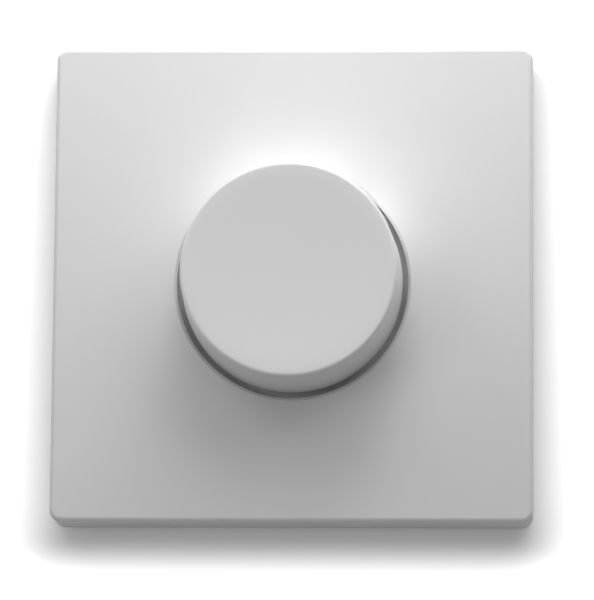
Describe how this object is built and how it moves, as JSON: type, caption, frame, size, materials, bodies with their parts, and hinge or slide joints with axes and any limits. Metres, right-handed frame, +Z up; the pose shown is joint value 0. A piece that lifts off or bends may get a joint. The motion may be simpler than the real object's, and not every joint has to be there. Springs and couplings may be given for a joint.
{
  "type": "dimmer switch",
  "caption": "Flush-mounted rotary dimmer with a flat square cover, a round push knob in a shallow well, and a moulded insert with spreading claws behind the wall.",
  "frame": {"origin": "on the wall's face, midway between the two box screw holes, on the knob's axis", "axes": "+X to the right as seen from the room, +Z up, +Y into the wall along the knob's axis"},
  "size_m": [0.08, 0.0525, 0.08],
  "materials": {
    "cover_plastic": "satin white moulding",
    "support_aluminium": "rolled sheet",
    "housing_plastic": "fine moulded grain",
    "block_plastic": "moulded",
    "pot_plastic": "moulded",
    "trimmer_plastic": "moulded",
    "nickel": "nickel plated brass",
    "spring_steel": "hardened strip",
    "zinc_steel": "zinc plated",
    "shaft_metal": "drawn bar",
    "contact_brass": "stamped strip",
    "carbon_track": "printed carbon film",
    "board_laminate": "glass laminate",
    "triac_body": "moulded with a plated tab",
    "pad_rubber": "filled silicone",
    "core_powder": "lacquered iron powder",
    "copper_wire": "enamelled copper wire",
    "film_case": "potted case",
    "timing_case": "dipped coat",
    "resistor_coat": "painted coat with rings",
    "diac_glass": "fused glass bead",
    "fuse_glass": "glass tube with plated caps"
  },
  "bodies": {
    "insert": {"choke_core": "core_powder", "choke_winding": "copper_wire", "circuit_board": "board_laminate", "claw_pins": "zinc_steel", "cover_nut": "nickel", "cover_plate": "cover_plastic", "diac": "diac_glass", "film_capacitor": "film_case", "fuse": "fuse_glass", "fuse_clips": "contact_brass", "housing": "housing_plastic", "housing_screws": "zinc_steel", "pot_body": "pot_plastic", "pot_bushing": "nickel", "pot_front_cover": "zinc_steel", "pot_nut": "nickel", "pot_terminals": "nickel", "pot_washer": "spring_steel", "resistive_track": "carbon_track", "resistors": "resistor_coat", "return_spring": "spring_steel", "support_plate": "support_aluminium", "switch_body": "pot_plastic", "switch_contacts": "contact_brass", "terminal_block": "block_plastic", "terminal_cages": "zinc_steel", "terminal_screws": "zinc_steel", "terminal_tabs": "contact_brass", "timing_capacitors": "timing_case", "triac": "triac_body", "triac_pad": "pad_rubber", "triac_rivet": "zinc_steel", "trimmer_body": "block_plastic"},
    "switch_carriage": {"switch_slider": "block_plastic", "contact_bridge": "contact_brass"},
    "spindle": {"knob": "cover_plastic", "knob_clip": "spring_steel", "shaft": "shaft_metal", "shaft_clip": "spring_steel"},
    "wiper_rotor": {"wiper": "pot_plastic", "wiper_brush": "contact_brass"},
    "trimmer_spindle": {"trimmer_rotor": "trimmer_plastic"},
    "left_claw": {"claw_left": "spring_steel"},
    "left_screw": {"claw_screw_left": "zinc_steel"},
    "left_nut": {"claw_nut_left": "zinc_steel"},
    "right_claw": {"claw_right": "spring_steel"},
    "right_screw": {"claw_screw_right": "zinc_steel"},
    "right_nut": {"claw_nut_right": "zinc_steel"}
  },
  "joints": [
    {"name": "knob_push", "type": "slide", "parent": "insert", "child": "switch_carriage", "axis": [0, 1, 0], "range_m": [0, 0.0015], "stiffness_N_per_m": 1200, "springref_m": -0.002, "deforming": ["return_spring"]},
    {"name": "knob_turn", "type": "hinge", "parent": "switch_carriage", "child": "spindle", "pos_m": [0, 0, 0], "axis": [0, 1, 0], "range_deg": [-135, 135]},
    {"name": "wiper_turn", "type": "hinge", "parent": "insert", "child": "wiper_rotor", "pos_m": [0, 0, 0], "axis": [0, 1, 0], "range_deg": [-135, 135]},
    {"name": "trimmer_turn", "type": "hinge", "parent": "insert", "child": "trimmer_spindle", "pos_m": [0.011, 0, 0.0194], "axis": [0, 1, 0], "range_deg": [-130, 130]},
    {"name": "left_screw_turn", "type": "hinge", "parent": "insert", "child": "left_screw", "pos_m": [-0.0286, 0, 0], "axis": [0, 1, 0], "range_deg": [0, 648.1]},
    {"name": "left_claw_swing", "type": "hinge", "parent": "insert", "child": "left_claw", "pos_m": [-0.0249, 0.0026, 0], "axis": [0, 0, 1], "range_deg": [0, 18.01]},
    {"name": "left_nut_slide", "type": "slide", "parent": "insert", "child": "left_nut", "axis": [0, -1, 0], "range_m": [0, 0.0009]},
    {"name": "right_screw_turn", "type": "hinge", "parent": "insert", "child": "right_screw", "pos_m": [0.0286, 0, 0], "axis": [0, 1, 0], "range_deg": [0, 648.1]},
    {"name": "right_claw_swing", "type": "hinge", "parent": "insert", "child": "right_claw", "pos_m": [0.0249, 0.0026, 0], "axis": [0, 0, -1], "range_deg": [0, 18.01]},
    {"name": "right_nut_slide", "type": "slide", "parent": "insert", "child": "right_nut", "axis": [0, -1, 0], "range_m": [0, 0.0009]}
  ],
  "couplings": [
    {"joint": "wiper_turn", "follows": "knob_turn", "ratio": 1},
    {"joint": "left_claw_swing", "follows": "left_nut_slide", "rad_per_m": 349.07},
    {"joint": "left_screw_turn", "follows": "left_nut_slide", "rad_per_m": 12566},
    {"joint": "right_claw_swing", "follows": "right_nut_slide", "rad_per_m": 349.07},
    {"joint": "right_screw_turn", "follows": "right_nut_slide", "rad_per_m": 12566}
  ]
}
